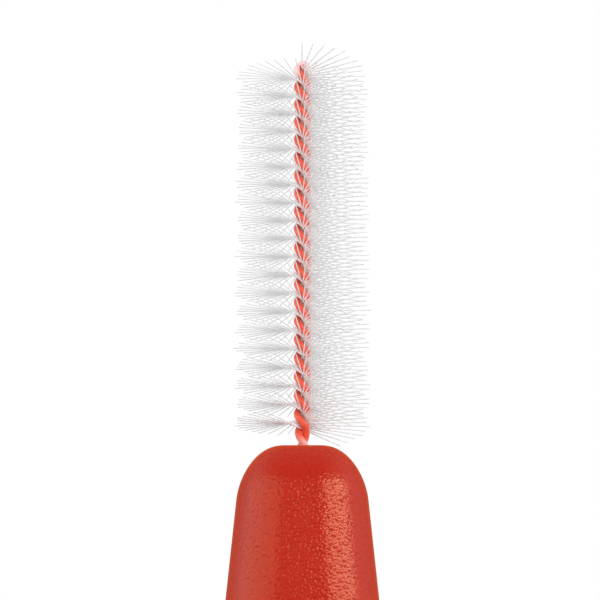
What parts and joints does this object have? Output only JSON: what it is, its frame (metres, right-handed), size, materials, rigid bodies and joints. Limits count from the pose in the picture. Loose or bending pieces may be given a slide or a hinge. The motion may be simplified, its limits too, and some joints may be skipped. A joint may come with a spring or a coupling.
{
  "type": "interdental brush",
  "caption": "Slim ribbed handle holding a twisted plastic-coated wire whose fine nylon filaments form a narrow cylindrical brush for cleaning between teeth.",
  "frame": {"origin": "centre of the handle's tail end", "axes": "+Z along the brush axis towards the brush head, -Y out of the front face of the grip, +X to the right of it"},
  "size_m": [0.0062, 0.0042, 0.0616],
  "materials": {
    "handle_plastic": "fine spark-eroded mould texture",
    "coat_plastic": "smooth coat",
    "steel": "drawn wire",
    "nylon": "drawn monofilament"
  },
  "bodies": {
    "root": {"handle": "handle_plastic", "wire_coating": "coat_plastic", "core_wire": "steel", "filament_fan_01": "nylon", "filament_fan_02": "nylon", "filament_fan_03": "nylon", "filament_fan_04": "nylon", "filament_fan_05": "nylon", "filament_fan_06": "nylon", "filament_fan_07": "nylon", "filament_fan_08": "nylon", "filament_fan_09": "nylon", "filament_fan_10": "nylon", "filament_fan_11": "nylon", "filament_fan_12": "nylon", "filament_fan_13": "nylon", "filament_fan_14": "nylon", "filament_fan_15": "nylon", "filament_fan_16": "nylon", "filament_fan_17": "nylon", "filament_fan_18": "nylon", "filament_fan_19": "nylon", "filament_fan_20": "nylon"}
  },
  "joints": []
}
